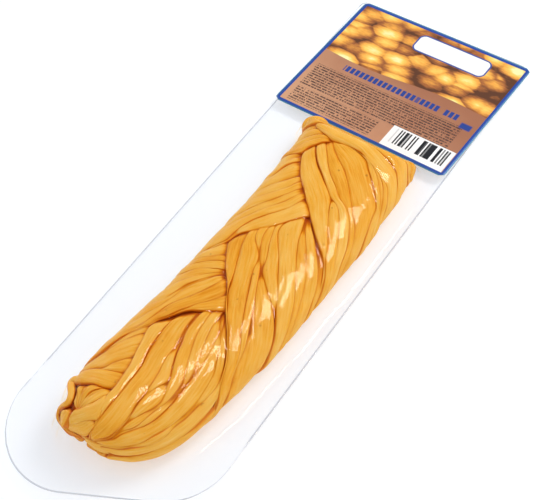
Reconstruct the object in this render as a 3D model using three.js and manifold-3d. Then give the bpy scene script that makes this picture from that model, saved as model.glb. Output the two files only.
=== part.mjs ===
// A smoked string cheese plaited from three flat-fibred strands and sealed in a clear vacuum pack,
// with a printed label across the far end of the pack.
//
// Millimetres, +Z up. The pack lies flat: its length runs along Y with the label at +Y, and its
// width along X. The origin is on the table, under the middle of the whole.

import * as THREE from 'three';
import { mergeVertices } from 'three/addons/utils/BufferGeometryUtils.js';
import Module from 'manifold-3d';

// ---- driving dimensions ---------------------------------------------------------------------

// Pack: two films sealed together in a flat border round the cheese.
const PACK_WIDTH = 85;
const PACK_NEAR_Y = -133.15;
const PACK_FAR_Y = 132.1;
const END_SLANT = THREE.MathUtils.degToRad( 27.3 ); // the near end is cut at this angle
const END_RADIUS = 27.5; // both corners of the near end
const FAR_RADIUS = 3;
const BORDER_LEVEL = 3; // underside of the sealed border above the table
const BORDER_THICK = 0.5;

// Cheese, with the film drawn tight over it.
const CHEESE_NEAR_Y = -113.2;
const CHEESE_FAR_Y = 62;
const CHEESE_HALF_WIDTH = 25.4;
const CHEESE_HEIGHT = 25.4;
const WAIST_LEVEL = 9.5; // where the section is widest
const PRESSED = 1.4; // the underside is pressed flat by this much where it lies on the table
const BOW_X = 9.4; // side offset of the middle of the cheese in the pack
const BOW_Y = 13.85;
const BOW_RADIUS = 653; // the plait is bent a little to one side
const NEAR_ROUND = 52; // length over which the near end narrows
const NEAR_DROP = 40; // length over which the near end gets lower
const FAR_ROUND = 14;
const FAR_DROP = 20;

// Plait: strands cross every half pitch and leave a zigzag seam down the top and the bottom.
const CROSSING_PITCH = 51.2;
const SEAM_TURN_Y = 3.3;
const SEAM_LEFT = -14.5; // turns of the top seam, measured over the surface from the crest
const SEAM_RIGHT = 6.5;
const SEAM_DEPTH = 2.4;
const STRAND_LEAN = 1.15; // run along Y for each millimetre round the body
const STRAND_GROOVE = 1.3;
const RIBBONS_PER_STRAND = 4;
const RIBBON_GROOVE = 0.55;

// Label: a paper rectangle stuck across the film, lifted a little by the end of the cheese.
const LABEL_WIDTH = 84;
const LABEL_LENGTH = 70;
const LABEL_Y = 97.15;
const LABEL_TURN = THREE.MathUtils.degToRad( - 1.4 );
const LABEL_THICK = 0.3;
const LABEL_GAP = 0.3;
const LABEL_RADIUS = 2.2;
const LABEL_LIFT = 1.5;

// Mesh fineness.
const RINGS = 78;
const RING_POINTS = 44;
const OUTLINE_POINTS = 10; // points on each quarter of an outline's round corner
const LABEL_CELLS_X = 12;
const LABEL_CELLS_Y = 10;

// ---- solids: closed meshes to and from the boolean library ------------------------------------

const wasm = await Module();
wasm.setup();

function toSolid( geometry ) {

	const bare = geometry.clone();
	bare.deleteAttribute( 'normal' );
	bare.deleteAttribute( 'uv' );
	const merged = mergeVertices( bare, 1e-4 );
	return new wasm.Manifold( new wasm.Mesh( {
		numProp: 3,
		vertProperties: new Float32Array( merged.attributes.position.array ),
		triVerts: new Uint32Array( merged.index.array ),
	} ) );

}

function toGeometry( solid ) {

	const mesh = solid.getMesh();
	const geometry = new THREE.BufferGeometry();
	geometry.setAttribute( 'position', new THREE.BufferAttribute( mesh.vertProperties, 3 ) );
	geometry.setIndex( new THREE.BufferAttribute( mesh.triVerts, 1 ) );
	geometry.computeVertexNormals();
	return geometry;

}

// One body from two that cross. Specks that rounding leaves beside it are dropped.
function join( one, other ) {

	const bodies = one.add( other ).decompose();
	return bodies.reduce( ( largest, body ) => ( body.volume() > largest.volume() ? body : largest ) );

}

// ---- the plait --------------------------------------------------------------------------------

// Side offset of the body's middle line at a place along the pack.
function bow( y ) {

	return BOW_X - ( y - BOW_Y ) ** 2 / ( 2 * BOW_RADIUS );

}

// Half width, top and bottom of the body's section at a place along the pack.
function sectionSize( y ) {

	const near = THREE.MathUtils.clamp( ( CHEESE_NEAR_Y + NEAR_ROUND - y ) / NEAR_ROUND, 0, 1 );
	const nearDrop = THREE.MathUtils.clamp( ( CHEESE_NEAR_Y + NEAR_DROP - y ) / NEAR_DROP, 0, 1 );
	const far = THREE.MathUtils.clamp( ( y - CHEESE_FAR_Y + FAR_ROUND ) / FAR_ROUND, 0, 1 );
	const farDrop = THREE.MathUtils.clamp( ( y - CHEESE_FAR_Y + FAR_DROP ) / FAR_DROP, 0, 1 );

	const width = Math.pow( 1 - near ** 3.5, 0.36 ) * Math.pow( 1 - far ** 4, 0.5 );
	const middle = BORDER_LEVEL + BORDER_THICK / 2;
	const nearTop = Math.pow( 1 - nearDrop ** 4, 0.45 );
	const farTop = 1 - farDrop ** 1.3;
	const bottom = Math.pow( 1 - nearDrop ** 5, 0.5 ) * Math.pow( 1 - farDrop ** 5, 0.5 );

	const tipLevel = THREE.MathUtils.lerp( middle, WAIST_LEVEL, nearDrop );
	return {
		halfWidth: CHEESE_HALF_WIDTH * width,
		top: tipLevel + ( CHEESE_HEIGHT - tipLevel ) * nearTop * farTop,
		bottom: tipLevel - ( tipLevel + PRESSED ) * bottom,
		waist: THREE.MathUtils.lerp( THREE.MathUtils.lerp( WAIST_LEVEL, middle, farDrop ), tipLevel, nearDrop ),
	};

}

// Points of a section, evenly spaced over its outline from the middle of the underside, each with
// its distance over the surface from the crest: positive towards +X.
function sectionPoints( y ) {

	const { halfWidth, top, bottom, waist } = sectionSize( y );
	const fine = 240;
	const outline = [];
	for ( let i = 0; i <= fine; i ++ ) {

		const turn = 2 * Math.PI * i / fine - Math.PI;
		const side = Math.sin( turn );
		const rise = Math.cos( turn );
		const x = halfWidth * Math.sign( side ) * Math.abs( side ) ** 0.9;
		const reach = rise > 0 ? top - waist : waist - bottom;
		outline.push( new THREE.Vector2( x, waist + reach * Math.sign( rise ) * Math.abs( rise ) ** 0.85 ) );

	}

	const along = [ 0 ];
	for ( let i = 1; i <= fine; i ++ ) along.push( along[ i - 1 ] + outline[ i ].distanceTo( outline[ i - 1 ] ) );

	const points = [];
	let at = 0;
	for ( let j = 0; j < RING_POINTS; j ++ ) {

		const want = along[ fine ] * j / RING_POINTS;
		while ( along[ at + 1 ] < want ) at ++;
		const share = ( want - along[ at ] ) / ( along[ at + 1 ] - along[ at ] );
		const place = outline[ at ].clone().lerp( outline[ at + 1 ], share );
		const edge = outline[ at + 1 ].clone().sub( outline[ at ] ).normalize();
		points.push( { place, outward: new THREE.Vector2( - edge.y, edge.x ), over: want - along[ fine / 2 ] } );

	}

	return { points, girth: along[ fine ], thick: top - bottom };

}

// Zigzag between two values, one full swing in each pitch, at its high turn where at is 0.
function zigzag( at, low, high ) {

	const phase = THREE.MathUtils.euclideanModulo( at / CROSSING_PITCH, 1 );
	return THREE.MathUtils.lerp( high, low, 1 - Math.abs( 2 * phase - 1 ) );

}

// A groove across a wavelength, deepest where at is a whole number of steps.
function groove( at, step, reach ) {

	const off = Math.abs( at / step - Math.round( at / step ) ) * step;
	return Math.exp( - ( ( off / reach ) ** 2 ) );

}

// How far the plaited surface lies below the plain body. Strands of the right family lie between
// the top seam and the bottom seam; at a seam one strand covers the end of the next.
function plaitDepth( y, over, girth ) {

	const fromTurn = y - SEAM_TURN_Y;
	const topSeam = zigzag( fromTurn, SEAM_LEFT, SEAM_RIGHT );
	const bottomSeam = girth / 2 + zigzag( - fromTurn, SEAM_LEFT, SEAM_RIGHT );
	const round = over < bottomSeam - girth ? over + girth : over;
	const right = round > topSeam && round < bottomSeam;

	const toSeam = Math.min( Math.abs( round - topSeam ), Math.abs( round - bottomSeam ),
		Math.abs( round - bottomSeam + girth ) );
	const rising = THREE.MathUtils.euclideanModulo( fromTurn / CROSSING_PITCH, 1 ) > 0.5;
	const dives = right === rising;
	const seam = SEAM_DEPTH * Math.exp( - toSeam / ( dives ? 4.5 : 1.6 ) );

	const lean = right ? STRAND_LEAN : - STRAND_LEAN;
	const turn = right ? SEAM_RIGHT : SEAM_LEFT;
	const shift = right ? 0 : CROSSING_PITCH / 2;
	const across = fromTurn + shift + lean * ( round - turn );
	const strand = STRAND_GROOVE * groove( across, CROSSING_PITCH, 3.4 );
	const ribbon = RIBBON_GROOVE * groove( across, CROSSING_PITCH / RIBBONS_PER_STRAND, 2.2 );
	return Math.max( seam, strand, ribbon );

}

// The whole plait as rings of points closed by a point at each end. It lies on its flat underside.
function plaitGeometry() {

	const places = [];
	const faces = [];
	const nearTip = sectionSize( CHEESE_NEAR_Y );
	places.push( bow( CHEESE_NEAR_Y ), CHEESE_NEAR_Y, nearTip.waist );

	for ( let i = 1; i < RINGS; i ++ ) {

		const even = i / RINGS;
		const share = even - 0.055 * Math.sin( 2 * Math.PI * even );
		const y = THREE.MathUtils.lerp( CHEESE_NEAR_Y, CHEESE_FAR_Y, share );
		const { points, girth, thick } = sectionPoints( y );
		const full = ( thick / CHEESE_HEIGHT ) ** 2; // the relief fades where the body thins out
		for ( const { place, outward, over } of points ) {

			const depth = full * plaitDepth( y, over, girth );
			const x = bow( y ) + place.x - depth * outward.x;
			const z = Math.max( 0, place.y - depth * outward.y );
			places.push( x, y, z );

		}

	}

	const farTip = sectionSize( CHEESE_FAR_Y );
	places.push( bow( CHEESE_FAR_Y ), CHEESE_FAR_Y, farTip.waist );

	const ringStart = ( i ) => 1 + ( i - 1 ) * RING_POINTS;
	const last = ringStart( RINGS );
	for ( let j = 0; j < RING_POINTS; j ++ ) {

		const next = ( j + 1 ) % RING_POINTS;
		faces.push( 0, ringStart( 1 ) + next, ringStart( 1 ) + j );
		for ( let i = 1; i < RINGS - 1; i ++ ) {

			const a = ringStart( i ) + j;
			const b = ringStart( i ) + next;
			const c = ringStart( i + 1 ) + j;
			const d = ringStart( i + 1 ) + next;
			faces.push( a, b, c, b, d, c );

		}

		faces.push( last, ringStart( RINGS - 1 ) + j, ringStart( RINGS - 1 ) + next );

	}

	const geometry = new THREE.BufferGeometry();
	geometry.setAttribute( 'position', new THREE.Float32BufferAttribute( places, 3 ) );
	geometry.setIndex( faces );
	return geometry;

}

// ---- the sealed border ------------------------------------------------------------------------

// Outline of the pack: straight sides, a slanted near end with large round corners.
function packOutline() {

	const half = PACK_WIDTH / 2;
	const reach = half - END_RADIUS;
	const leftCentreY = PACK_NEAR_Y + END_RADIUS;
	const rightCentreY = leftCentreY + 2 * reach * Math.tan( END_SLANT );
	const slantEnd = - Math.PI / 2 + END_SLANT;
	const outline = new THREE.Shape();
	outline.moveTo( - half, PACK_FAR_Y - FAR_RADIUS );
	outline.absarc( - reach, leftCentreY, END_RADIUS, Math.PI, 2 * Math.PI + slantEnd, false );
	outline.absarc( reach, rightCentreY, END_RADIUS, slantEnd, 0, false );
	outline.absarc( half - FAR_RADIUS, PACK_FAR_Y - FAR_RADIUS, FAR_RADIUS, 0, Math.PI / 2, false );
	outline.absarc( - half + FAR_RADIUS, PACK_FAR_Y - FAR_RADIUS, FAR_RADIUS, Math.PI / 2, Math.PI, false );
	return outline;

}

function borderGeometry() {

	const options = { depth: BORDER_THICK, bevelEnabled: false, curveSegments: OUTLINE_POINTS };
	return new THREE.ExtrudeGeometry( packOutline(), options ).translate( 0, 0, BORDER_LEVEL );

}

// ---- the label --------------------------------------------------------------------------------

// A rectangle with small round corners, centred on the origin.
function labelOutline() {

	const x = LABEL_WIDTH / 2 - LABEL_RADIUS;
	const y = LABEL_LENGTH / 2 - LABEL_RADIUS;
	const outline = new THREE.Shape();
	outline.absarc( x, y, LABEL_RADIUS, 0, Math.PI / 2, false );
	outline.absarc( - x, y, LABEL_RADIUS, Math.PI / 2, Math.PI, false );
	outline.absarc( - x, - y, LABEL_RADIUS, Math.PI, 1.5 * Math.PI, false );
	outline.absarc( x, - y, LABEL_RADIUS, 1.5 * Math.PI, 2 * Math.PI, false );
	return outline;

}

// The sheet rises over the end of the cheese in the middle of its near edge.
function labelGeometry() {

	const sheet = new THREE.BoxGeometry( LABEL_WIDTH + 2, LABEL_LENGTH + 2, LABEL_THICK, LABEL_CELLS_X, LABEL_CELLS_Y, 1 );
	const place = sheet.attributes.position;
	for ( let i = 0; i < place.count; i ++ ) {

		const across = ( place.getX( i ) - bow( CHEESE_FAR_Y ) ) / CHEESE_HALF_WIDTH;
		const back = ( place.getY( i ) + LABEL_LENGTH / 2 ) / CHEESE_HALF_WIDTH;
		const lift = LABEL_LIFT * Math.exp( - ( across ** 4 ) - Math.max( 0, back ) ** 2 );
		place.setZ( i, place.getZ( i ) + lift );

	}

	const cutter = new THREE.ExtrudeGeometry( labelOutline(), { depth: 20, bevelEnabled: false, curveSegments: 4 } );
	cutter.translate( 0, 0, - 10 );
	return toGeometry( toSolid( sheet ).intersect( toSolid( cutter ) ) );

}

// ---- the assembly -----------------------------------------------------------------------------

const filmMaterial = new THREE.MeshStandardMaterial( { color: 0xe2a040, roughness: 0.25, metalness: 0 } );
const paperMaterial = new THREE.MeshStandardMaterial( { color: 0xb9805c, roughness: 0.4, metalness: 0 } );

const packSolid = join( toSolid( plaitGeometry() ), toSolid( borderGeometry() ) );
const pack = new THREE.Mesh( toGeometry( packSolid ), filmMaterial );
pack.name = 'sealed_pack';

const label = new THREE.Mesh( labelGeometry(), paperMaterial );
label.name = 'label';
label.position.set( 0, LABEL_Y, BORDER_LEVEL + BORDER_THICK + LABEL_GAP + LABEL_THICK / 2 );
label.rotation.z = LABEL_TURN;

const cheesePack = new THREE.Group();
cheesePack.add( pack, label );

export default cheesePack;
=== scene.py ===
import math

import bpy
import numpy as np
from mathutils import Matrix, Vector
from mathutils.bvhtree import BVHTree
from mathutils.kdtree import KDTree


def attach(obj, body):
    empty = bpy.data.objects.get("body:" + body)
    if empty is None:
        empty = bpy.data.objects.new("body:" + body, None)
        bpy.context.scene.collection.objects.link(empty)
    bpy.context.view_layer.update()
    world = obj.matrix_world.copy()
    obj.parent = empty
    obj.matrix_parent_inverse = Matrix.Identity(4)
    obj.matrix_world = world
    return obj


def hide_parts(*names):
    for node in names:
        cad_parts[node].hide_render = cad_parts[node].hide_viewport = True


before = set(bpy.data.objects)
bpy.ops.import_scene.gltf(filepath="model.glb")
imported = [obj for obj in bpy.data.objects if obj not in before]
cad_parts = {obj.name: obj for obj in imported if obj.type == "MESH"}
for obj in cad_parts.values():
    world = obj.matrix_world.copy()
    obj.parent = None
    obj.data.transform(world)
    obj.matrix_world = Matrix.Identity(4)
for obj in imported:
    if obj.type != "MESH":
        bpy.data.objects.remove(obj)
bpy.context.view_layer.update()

MM = 0.001  # lengths below are in millimetres until they go into a mesh


# ==== the plaited cheese =======================================================================
# Three strands of smoked string cheese, plaited while warm. Each strand is a bundle of flat
# ribbons pulled out of stretched curd, so it lies as a fan of ribbons that turn round the edge
# of the plait and dive under the next strand at the zigzag seam down the middle.

CHEESE_NEAR = -113.0
CHEESE_FAR = 60.1
HALF_WIDTH = 25.3
HEIGHT = 26.1
WAIST = 9.8  # level where the plait is widest
PRESSED = 1.4  # how far the round underside is pushed flat by the table
BOW = (9.4, 13.85, 653)  # side offset of the middle, where it is greatest, radius of the bend
FAR_BEND = (33, 0.0055)  # where the far end starts to turn aside, and how sharply
NEAR_ROUND, NEAR_DROP = 52, 40  # lengths over which the near end narrows and gets lower
FAR_ROUND, FAR_DROP = (6, 3), 14  # the left corner is rounder than the right one
FAR_FLARE = (50, 0.14)  # where the right side starts to spread under the label, and how fast
END_SLOPE = 1.43  # the far end is one slant face, which falls this much for each millimetre along
END_LEVEL = 3.9
EDGE_SOFT = 0.8  # how softly the end face meets the top
SEAL_LEVEL = 3.25  # level of the pack's flat border, which both ends come down to
ROWS, ROUND = 420, 240
CROWDING = 0.15  # how much closer the sections stand at both ends
ALMOST_ALL = 0.998  # the ends stop just short of a point


def share(value):
    return np.clip(value, 0, 1)


def middle(y):
    return BOW[0] - (y - BOW[1]) ** 2 / (2 * BOW[2]) - FAR_BEND[1] * np.maximum(y - FAR_BEND[0], 0) ** 2


def plait_form():
    """Points and outward normals of the plait's plain outer form: a row of sections along Y."""
    even = np.linspace(0.0, 1.0, ROWS)
    y = CHEESE_NEAR + (CHEESE_FAR - CHEESE_NEAR) * (even - CROWDING * np.sin(2 * np.pi * even))
    near, near_drop = (share((CHEESE_NEAR + run - y) / run) * ALMOST_ALL for run in (NEAR_ROUND, NEAR_DROP))
    *far, far_drop = (share((y - CHEESE_FAR + run) / run) * ALMOST_ALL for run in (*FAR_ROUND, FAR_DROP))
    half_left, half_right = (HALF_WIDTH * (1 - near**3.5) ** 0.36 * (1 - corner**4) ** 0.5 for corner in far)
    half_right += FAR_FLARE[1] * np.maximum(y - FAR_FLARE[0], 0)
    tip = SEAL_LEVEL + (WAIST - SEAL_LEVEL) * near_drop
    top = tip + (HEIGHT - tip) * (1 - near_drop**7) ** 0.42
    low = tip - (tip + PRESSED) * (1 - near_drop**5) ** 0.5 * (1 - far_drop**5) ** 0.5
    waist = WAIST + (SEAL_LEVEL - WAIST) * far_drop
    waist = waist + (tip - waist) * near_drop

    turn = np.linspace(-np.pi, np.pi, 721)
    side, rise = np.sin(turn), np.cos(turn)
    points = np.zeros((ROWS, ROUND + 1, 3))
    girth = np.zeros(ROWS)
    for i in range(ROWS):
        x = np.where(side > 0, half_right[i], half_left[i]) * np.sign(side) * np.abs(side) ** 0.9
        reach = np.where(rise > 0, top[i] - waist[i], waist[i] - low[i])
        z = waist[i] + reach * np.sign(rise) * np.abs(rise) ** 0.85
        slant = END_LEVEL + (CHEESE_FAR - y[i]) * END_SLOPE
        z = -EDGE_SOFT * np.logaddexp(-z / EDGE_SOFT, -slant / EDGE_SOFT)
        run = np.concatenate([[0], np.cumsum(np.hypot(np.diff(x), np.diff(z)))])
        girth[i] = run[-1]
        at = np.linspace(0, run[-1], ROUND + 1)
        points[i, :, 0] = middle(y[i]) + np.interp(at, run, x)
        points[i, :, 1] = y[i]
        points[i, :, 2] = np.interp(at, run, z)
    along = np.gradient(points, axis=0)
    ring = points[:, :-1]
    over = np.roll(ring, -1, axis=1) - np.roll(ring, 1, axis=1)
    over = np.concatenate([over, over[:, :1]], axis=1)
    normals = np.cross(over, along)
    normals /= np.maximum(np.linalg.norm(normals, axis=2, keepdims=True), 1e-9)
    return y, girth, points, normals


FORM_Y, FORM_GIRTH, FORM_POINTS, FORM_NORMALS = plait_form()


def on_plait(y, over):
    """Point and normal of the outer form at a place along Y and a distance round from the crest."""
    row = np.interp(y, FORM_Y, np.arange(ROWS))
    turn = (over / np.interp(y, FORM_Y, FORM_GIRTH) + 0.5) % 1.0 * ROUND
    i = np.clip(row.astype(int), 0, ROWS - 2)
    k = np.clip(turn.astype(int), 0, ROUND - 1)
    a, b = (row - i)[:, None], (turn - k)[:, None]
    found = []
    for grid in (FORM_POINTS, FORM_NORMALS):
        low = grid[i, k] * (1 - b) + grid[i, k + 1] * b
        high = grid[i + 1, k] * (1 - b) + grid[i + 1, k + 1] * b
        found.append(low * (1 - a) + high * a)
    found[1] /= np.linalg.norm(found[1], axis=1, keepdims=True)
    return found


LINE_STEP = 0.4


def run_along(points, power=1):
    """How far along the line each of its points lies."""
    return np.concatenate([[0], np.cumsum(np.linalg.norm(np.diff(points, axis=0), axis=1) ** power)])


def curve_through(points):
    """A smooth dense line through a few guide points."""
    points = np.array(points, float)
    if len(points) < 3:
        count = max(2, int(np.linalg.norm(points[-1] - points[0]) / LINE_STEP))
        return points[0] + np.linspace(0, 1, count)[:, None] * (points[-1] - points[0])
    ends = np.vstack([2 * points[0] - points[1], points, 2 * points[-1] - points[-2]])
    knots = run_along(ends, 0.5)
    line = []
    for j in range(1, len(ends) - 2):
        at, guides = knots[j - 1 : j + 3], ends[j - 1 : j + 3]
        count = max(2, int(np.linalg.norm(guides[2] - guides[1]) / LINE_STEP))
        t = np.linspace(at[1], at[2], count, endpoint=False)[:, None]

        def between(low, high, start, end):
            return (end - t) / (end - start) * low + (t - start) / (end - start) * high

        first = [between(guides[k], guides[k + 1], at[k], at[k + 1]) for k in range(3)]
        second = [between(first[k], first[k + 1], at[k], at[k + 2]) for k in range(2)]
        line.append(between(*second, at[1], at[2]))
    line.append(points[-1:])
    return np.vstack(line)


# Each lap is one pass of a strand over the top: the creases between its ribbons, every one as
# guide points (place along the pack, distance round from the crest), from the seam outwards. The
# laps follow each other from the near tip on, left and right in turn, and so do the three strands.
GUIDE_ZERO = -1.15  # where the guides' own zero lies along the pack

LAP_1 = [  # left, at the near tip
    [(-92.9, -1.9), (-94.5, -5.8), (-95.2, -10.2), (-96.6, -14.3), (-97.4, -18), (-97.6, -22.5), (-97, -27),
     (-96.5, -31)],
    [(-86.2, -3.5), (-87.9, -8.4), (-89.3, -13.2), (-90.6, -18), (-91.6, -22.5), (-93, -26.5), (-94.5, -31)],
    [(-79.3, -6.3), (-82, -8.4), (-85, -10.7), (-88, -12.2), (-89.7, -16), (-91, -20), (-92.4, -26),
     (-94.2, -31)],
    [(-68.5, -11), (-72, -14), (-76, -16.8), (-80, -18.5), (-84, -20.9), (-88, -23.2), (-91, -27), (-93.4, -31)],
    [(-65.5, -12), (-70, -15.3), (-74, -17.7), (-78, -19.5), (-84, -21.2), (-88, -23.8), (-91, -28), (-93, -31)],
]
LAP_2 = [  # right, running into the tip
    [(-65.5, -11.8), (-68.5, -10.8), (-76, -7.6), (-82, -5), (-86, -3.9), (-92, -2.3), (-97, -1.7), (-103, 0.8),
     (-108, 1.9), (-111, 1.8)],
    [(-60, -6.8), (-68, -5.7), (-75, -4), (-82, -1.2), (-88, 0), (-92, 0.8), (-98, 1.5), (-104, 2.2), (-108, 2.6),
     (-111, 2.2)],
    [(-52, -0.9), (-55, -0.8), (-60, -0.2), (-65, 1.5), (-69, 2.6), (-73, 3.1), (-80, 5.6), (-84, 6.8),
     (-92, 8.2), (-97, 9.3), (-101, 9.9), (-106, 9.3), (-108, 8), (-110, 5), (-111, 2.6)],
    [(-51.5, -0.3), (-56, -0.1), (-60, 0.4), (-63, 1.3), (-66, 2.7), (-70, 4.3), (-75, 7.1), (-80, 10),
     (-84, 9.2), (-88, 8.3), (-92, 8.7), (-97, 9.8), (-101, 10.3), (-106, 9.7), (-108.3, 8.4), (-111, 3)],
    [(-51, 0.2), (-56, 0.5), (-60, 1), (-63, 1.9), (-66, 3.3), (-70, 4.9), (-75, 7.7), (-80, 10.5), (-83.5, 12),
     (-86, 13.3), (-89.5, 13.7), (-95, 12.2), (-99, 11.2), (-104, 10.6), (-107, 9.9), (-109, 8), (-111, 3.4)],
    [(-49.5, 2.8), (-55, 3.8), (-60, 5), (-66, 7.8), (-70, 9.8), (-73.5, 11.8), (-78, 14), (-84, 15.2),
     (-88, 15.2), (-92, 14.6), (-97, 14.3), (-100, 13.6), (-104, 11.2), (-107, 10.2), (-109, 8.4), (-111, 3.8)],
    [(-47.3, 5.8), (-54, 7), (-58, 8.2), (-62, 9.7), (-65, 11), (-69, 12.8), (-73, 14.3), (-79, 15.9),
     (-86, 16.9), (-90, 17), (-95, 16.5), (-98, 15.6), (-101, 13.9), (-104, 12), (-107, 10.6), (-109, 8.8),
     (-111, 4.2)],
    [(-47.2, 6.1), (-52, 8.4), (-55, 10.3), (-60, 12), (-66, 14), (-70, 14.9), (-75, 15.8), (-79, 16.4),
     (-86, 17.4), (-90, 17.5), (-95, 17), (-98, 16.1), (-101, 14.4), (-104, 12.5), (-107, 11), (-111, 4.6)],
    [(-47, 6.6), (-50, 8.6), (-54, 11), (-58, 13.6), (-62, 16.2), (-67, 19.3), (-70, 20.5), (-74, 21.8),
     (-78, 22.7), (-82, 23.2), (-90, 23), (-94, 22.5), (-98, 21.3), (-102, 20), (-106, 16.5), (-109, 11.5),
     (-111, 5.4)],
    [(-46.9, 6.9), (-50, 9.6), (-54, 12.8), (-58, 16), (-62, 19.2), (-66, 22), (-70, 24.1), (-75, 24.7),
     (-80, 24.9), (-86, 25.1), (-91, 24.6), (-95, 24.8), (-99, 24), (-102, 22.2), (-105, 19), (-108, 15),
     (-111, 7)],
    [(-46.8, 7.1), (-54, 13.4), (-62, 20), (-66, 23), (-70, 26.2), (-74, 28.6), (-80, 30.5), (-88, 31), (-95, 30),
     (-101, 27), (-105, 23.5), (-109, 17), (-111, 9)],
]
LAP_3 = [  # left
    [(-46.7, 6.2), (-48.5, 3.5), (-51, 0), (-54, -5), (-57, -7.2), (-60, -9), (-62.5, -11), *LAP_1[-1]],
    [(-40.7, 2.3), (-44, 1), (-46, -0.5), (-49, -2.8), (-52, -5), (-55, -7), (-60, -9.7), (-62.5, -11.7),
     (-65.5, -12.7), (-70, -16), (-74, -18.4), (-78, -20.2), (-84, -22), (-88, -24.6), (-90.6, -28),
     (-92.5, -31)],
    [(-35.3, -3), (-39, -4), (-42, -5), (-46, -7), (-50, -9.5), (-53, -11.5), (-56, -13), (-60, -13.6),
     (-66, -15.2), (-71, -18.7), (-76, -21.5), (-82, -24.5), (-86, -27.5), (-89, -31)],
    [(-34.3, -4), (-37, -6.8), (-40, -9), (-43, -11.5), (-46, -13), (-50, -14), (-54, -15), (-57, -15.8),
     (-60, -17), (-63, -18.5), (-67, -21), (-71, -23.5), (-76, -26.5), (-81, -31)],
    [(-33.6, -4.5), (-37, -8.2), (-41, -11.6), (-45, -14.4), (-50, -16), (-54, -17.6), (-57, -21.5), (-59.5, -26),
     (-61, -31)],
    [(-33, -5), (-35, -8), (-37, -10.6), (-39.5, -13.5), (-42, -16), (-44, -18.5), (-47.5, -22.7), (-49.5, -26),
     (-50, -31)],
    [(-32, -6), (-33.7, -9.5), (-35, -13), (-36.8, -17), (-38.7, -20), (-40.4, -23.5), (-41, -27), (-41, -31)],
    [(-29, -8.3), (-31, -13), (-33, -17.5), (-34.7, -21), (-36.5, -25), (-37.3, -31)],
    [(-26.7, -10.3), (-28.5, -14), (-30, -17.5), (-31.5, -21), (-34, -25.5), (-35, -31)],
    [(-20.5, -14.3), (-24, -17.5), (-28.5, -23.3), (-32, -27.5), (-33.5, -31)],
]
LAP_4 = [  # right
    [(-20.5, -14.2), (-30, -7.3), (-38, 0.2), (-46, 6), (-54, 13.3), (-62, 19.8), (-70, 24.8), (-76, 31)],
    [(-13, -9.4), (-18, -8.1), (-26, -4.8), (-33, -1.2), (-39, 1.4), (-46, 6.6), (-54, 13.9), (-62, 20.4),
     (-70, 25.4), (-75, 31)],
    [(-10.5, -7), (-15, -5), (-21, 1), (-27, 3.5), (-35, 7.7), (-43, 12), (-51, 17), (-55, 20.4), (-60, 23.5),
     (-66, 26.2), (-71, 31)],
    [(-7.7, -4), (-12, -3.3), (-17, -1.1), (-21, 1.6), (-25.5, 5), (-32, 8.8), (-40, 13.4), (-48, 18),
     (-54, 21.6), (-60, 24.3), (-65, 27), (-69, 31)],
    [(-6, -2.3), (-13, 0.4), (-20, 4), (-25.5, 6.3), (-30, 11.5), (-34, 17), (-38, 22), (-42.5, 27), (-46.5, 31)],
    [(-3.3, -0.4), (-8, 0.3), (-13, 3.8), (-18, 8), (-25, 13), (-32, 18), (-38, 23.2), (-43, 28.4), (-45.7, 31)],
    [(3, 5), (-2, 7.1), (-8, 9.5), (-15, 13.8), (-22, 18.8), (-28, 23.5), (-33, 27), (-38, 31)],
    [(3.8, 5.6), (-1, 7.9), (-5, 10.8), (-10, 14.6), (-14, 17.6), (-17, 20.2), (-22, 23.2), (-28, 26.8),
     (-34, 31)],
    [(4.4, 6), (0.5, 9.4), (-3.5, 14), (-7, 17.5), (-11, 21.5), (-15, 25), (-19, 28.5), (-22, 31)],
    [(4.8, 6), (1.5, 9.6), (-1.5, 13.2), (-4, 16.6), (-7, 21.3), (-10, 24), (-14, 27.6), (-18, 31)],
]
LAP_5 = [  # left
    [(4.7, 6), (1, 3), (-3.5, -0.5), (-8, -4), (-12.7, -9.2), (-16.5, -13.3), (-20.5, -14.6), *LAP_3[-1][1:]],
    [(9.5, -0.3), (3, -3), (-3, -8), (-9, -12.5), (-16, -14.8), (-20.5, -15.8), (-24, -18.8), (-28, -24),
     (-31, -28), (-32.5, -31)],
    [(12, -2.6), (5.5, -5.8), (-1, -10.8), (-6, -15), (-11, -19.3), (-16, -24), (-20, -28), (-22.5, -31)],
    [(14, -4.3), (8, -8), (4, -11), (1, -14), (-2, -17), (-5, -20), (-9, -24.5), (-14, -31)],
    [(17, -6.7), (12, -9.5), (8, -13), (5, -16.6), (3, -20), (-1, -25), (-5, -31)],
    [(18.7, -8.3), (16.5, -10.5), (14, -13.5), (10.5, -18.5), (6, -23.5), (3, -27), (0, -31)],
    [(25.8, -14), (22, -18.3), (17, -21), (12, -27), (9.5, -31)],
    [(28, -15), (25.5, -18), (22, -22), (19.5, -26), (18, -31)],
    [(30, -15.7), (29, -19), (28.3, -23), (27.5, -27), (27, -31)],
]
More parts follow.
